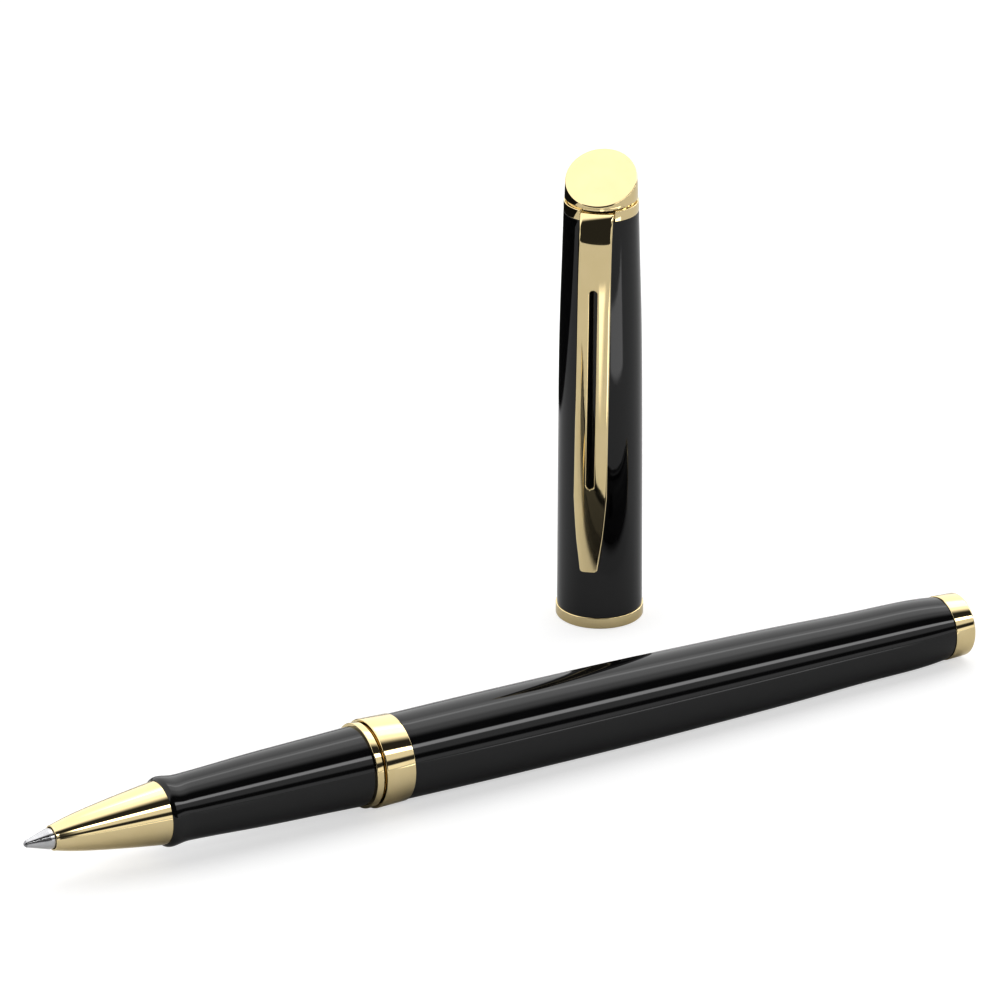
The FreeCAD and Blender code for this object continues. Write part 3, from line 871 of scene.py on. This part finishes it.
def sheet(name, corners, height, material):
    """A flat stage piece, from (x, y) corners in millimetres."""
    bm = bmesh.new()
    face = bm.faces.new([bm.verts.new(Vector((x, y, height)) * MM) for x, y in corners])
    across = bm.loops.layers.uv.new("across")
    for loop, place in zip(face.loops, ((0, 0), (1, 0), (1, 1), (0, 1))):
        loop[across].uv = place
    mesh = bpy.data.meshes.new(name)
    bm.to_mesh(mesh)
    bm.free()
    mesh.materials.append(material)
    piece = bpy.data.objects.new(name, mesh)
    bpy.context.scene.collection.objects.link(piece)
    return piece


def pale_floor():
    """White paper with light shadows. The pen's reflections see plain paper."""
    material = bpy.data.materials.new("pale_floor")
    tree = nodes_of(material)
    shader = tree.nodes["Principled BSDF"]
    seen = tree.nodes.new("ShaderNodeLightPath").outputs["Is Camera Ray"]
    white = math_node(tree, "MULTIPLY_ADD", seen, FLOOR_SEEN - FLOOR_REFLECTED, FLOOR_REFLECTED)
    link(tree, white, shader.inputs["Base Color"])
    shader.inputs["Emission Color"].default_value = (1, 1, 1, 1)
    link(tree, math_node(tree, "MULTIPLY", seen, FLOOR_GLOW), shader.inputs["Emission Strength"])
    shader.inputs["Roughness"].default_value = 0.9
    shader.inputs["Specular IOR Level"].default_value = 0.0
    return material


def floor():
    half = 4000
    corners = [(-half, -half), (half, -half), (half, half), (-half, half)]
    sheet("floor", corners, 0, pale_floor())


def card_glow(name, brightness, soft):
    """An even glow that fades out at the card's edges, over a share of its size."""
    material = bpy.data.materials.new(name)
    tree = nodes_of(material)
    tree.nodes.remove(tree.nodes["Principled BSDF"])
    glow = tree.nodes.new("ShaderNodeEmission")
    glow.inputs["Color"].default_value = (1, 1, 1, 1)
    glow.inputs["Strength"].default_value = brightness
    clear = tree.nodes.new("ShaderNodeBsdfTransparent")
    parts = tree.nodes.new("ShaderNodeSeparateXYZ")
    link(tree, tree.nodes.new("ShaderNodeTexCoord").outputs["UV"], parts.inputs["Vector"])
    cover = 1.0
    for place in parts.outputs[:2]:
        rise = smooth_step(tree, place, 0.0, soft)
        fall = smooth_step(tree, place, 1.0, 1.0 - soft)
        cover = math_node(tree, "MULTIPLY", cover, math_node(tree, "MULTIPLY", rise, fall))
    mix = tree.nodes.new("ShaderNodeMixShader")
    link(tree, cover, mix.inputs["Fac"])
    link(tree, clear.outputs["BSDF"], mix.inputs[1])
    link(tree, glow.outputs["Emission"], mix.inputs[2])
    link(tree, mix.outputs["Shader"], tree.nodes["Material Output"].inputs["Surface"])
    return material


def card(name, corners, brightness, soft):
    """A flat card just above the floor that only reflections see."""
    piece = sheet(name, corners, CARD_HEIGHT, card_glow(name, brightness, soft))
    piece.visible_camera = False
    piece.visible_diffuse = False
    piece.visible_shadow = False
    piece.visible_transmission = False


def cards():
    """A dark card behind the cap and two bright ones before it, for its dark and pale bands."""
    card("dark_card", [(-500, 75), (70, 75), (70, 500), (-500, 500)], 0.02, 0.012)
    card("bright_card", [(20, -110), (108, -110), (80, -55), (20, -69)], 2.6, 0.12)
    card("cream_card", [(-70, -118), (-21, -143), (-5, -62), (-15, -58)], 1.8, 0.3)


def math_node(tree, operation, first, second=None, third=None):
    node = tree.nodes.new("ShaderNodeMath")
    node.operation = operation
    for socket, value in zip(node.inputs, (first, second, third)):
        if isinstance(value, (int, float)):
            socket.default_value = value
        elif value is not None:
            link(tree, value, socket)
    return node.outputs["Value"]


def smooth_step(tree, value, low, high):
    node = tree.nodes.new("ShaderNodeMapRange")
    node.interpolation_type = "SMOOTHSTEP"
    node.inputs["From Min"].default_value = low
    node.inputs["From Max"].default_value = high
    link(tree, value, node.inputs["Value"])
    return node.outputs["Result"]


def light_bar(tree, roll, low, high, soft, strength):
    """A long light parallel to the pen, between two angles of roll about it."""
    rise = smooth_step(tree, roll, low - soft, low + soft)
    fall = smooth_step(tree, roll, high + soft, high - soft)
    return math_node(tree, "MULTIPLY", math_node(tree, "MULTIPLY", rise, fall), strength)


def pen_light(tree, x, roll):
    """The light's strength for a direction, by its roll about the pen and its share along x."""
    overhead = light_bar(tree, roll, 8, 107, 9, 1.55)
    tube = light_bar(tree, roll, 58, 90, 5, 0.8)
    thin_tube = light_bar(tree, roll, 66, 71, 2, 1.3)
    strip = light_bar(tree, roll, 133, 142, 1.5, 3.9)
    strip_glow = light_bar(tree, roll, 133, 158, 3, 1.0)
    near_card = light_bar(tree, roll, 170, 200, 2, 1.2)
    far_card = light_bar(tree, roll, -35, 10, 5, 0.9)
    over_pen = math_node(tree, "MULTIPLY", total_of(tree, tube, thin_tube), smooth_step(tree, x, 0.12, 0.3))
    front = math_node(tree, "MULTIPLY", total_of(tree, strip, strip_glow, near_card),
                      smooth_step(tree, x, -0.1, 0.05))
    return total_of(tree, overhead, over_pen, front, far_card, AMBIENT)


def total_of(tree, first, *others):
    for other in others:
        first = math_node(tree, "ADD", first, other)
    return first


def studio_light():
    """A large soft light overhead and behind, and a narrow one in front, both parallel to the pen.
    Roll is the angle about the pen: 0 is the far horizon, 90 is straight up, 180 the near horizon."""
    world = bpy.data.worlds.new("studio")
    bpy.context.scene.world = world
    world.use_nodes = True
    tree = world.node_tree
    background = tree.nodes["Background"]
    background.inputs["Color"].default_value = (1, 1, 1, 1)
    direction = tree.nodes.new("ShaderNodeTexCoord").outputs["Generated"]
    parts = tree.nodes.new("ShaderNodeSeparateXYZ")
    link(tree, direction, parts.inputs["Vector"])
    x, y, z = parts.outputs
    roll = math_node(tree, "DEGREES", math_node(tree, "ARCTAN2", z, y))
    seen = tree.nodes.new("ShaderNodeLightPath").outputs["Is Camera Ray"]
    white = math_node(tree, "MULTIPLY", seen, BACKDROP)
    strength = math_node(tree, "MAXIMUM", pen_light(tree, x, roll), white)
    link(tree, strength, background.inputs["Strength"])


def camera():
    data = bpy.data.cameras.new("camera")
    data.sensor_width = 36
    data.lens = CAMERA_LENS
    eye = bpy.data.objects.new("camera", data)
    bpy.context.scene.collection.objects.link(eye)
    turn = math.radians(CAMERA_AZIMUTH)
    lift = math.radians(CAMERA_ELEVATION)
    back = Vector((math.sin(turn) * math.cos(lift), -math.cos(turn) * math.cos(lift), math.sin(lift)))
    eye.location = (Vector(CAMERA_AIM) + back * CAMERA_DISTANCE) * MM
    upright = back.to_track_quat("Z", "Y").to_matrix().to_4x4()
    eye.matrix_world = Matrix.Translation(eye.location) @ upright @ Matrix.Rotation(
        math.radians(CAMERA_ROLL), 4, "Z")
    bpy.context.scene.camera = eye


def picture_contrast():
    """The plain display curve, with the firmer contrast of a catalogue picture."""
    view = bpy.context.scene.view_settings
    view.view_transform = "Standard"
    view.look = "None"
    view.gamma = GAMMA


section_grip()
nose_cone()
section_ring()
barrel()
centre_band()
tail_ring()
point()
ball()
cap_tube()
cap_lip_ring()
clip_ring()
crown()
clip()
dress_inner_nodes()
floor()
cards()
studio_light()
camera()
picture_contrast()
